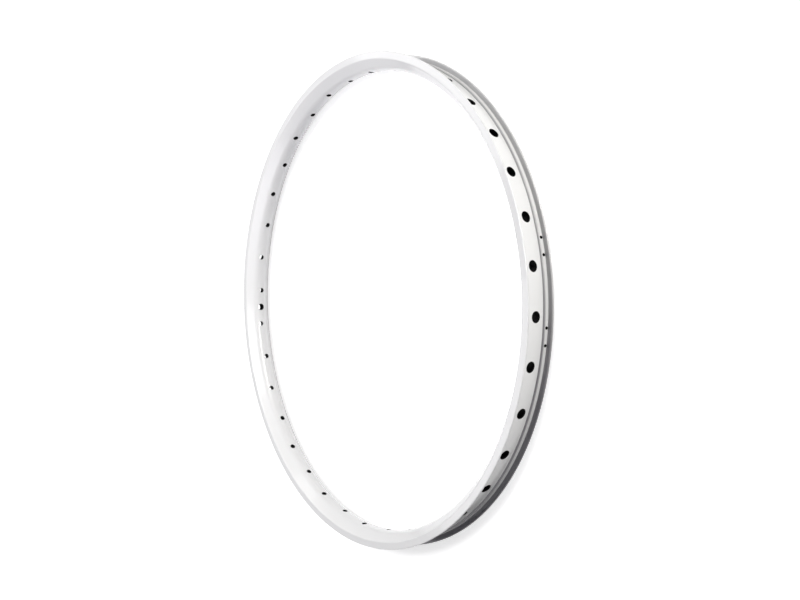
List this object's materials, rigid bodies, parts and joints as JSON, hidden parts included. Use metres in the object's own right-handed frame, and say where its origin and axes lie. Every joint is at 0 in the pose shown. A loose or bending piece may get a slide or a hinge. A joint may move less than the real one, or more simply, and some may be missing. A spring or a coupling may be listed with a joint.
{
  "type": "bicycle rim",
  "caption": "Low double-wall bicycle rim: a hollow aluminium hoop with a tyre channel, staggered radial spoke holes and a valve hole, painted gloss white.",
  "frame": {"origin": "centre of the wheel, on the rim's middle plane", "axes": "+Z along the wheel axis, +X through the valve hole, -X through the joint of the hoop"},
  "size_m": [0.4149, 0.415, 0.0248],
  "materials": {
    "white_paint": "gloss",
    "bare_aluminium": "satin"
  },
  "bodies": {
    "root": {"rim_hoop": "white_paint", "joint_sleeve": "bare_aluminium"}
  },
  "joints": []
}
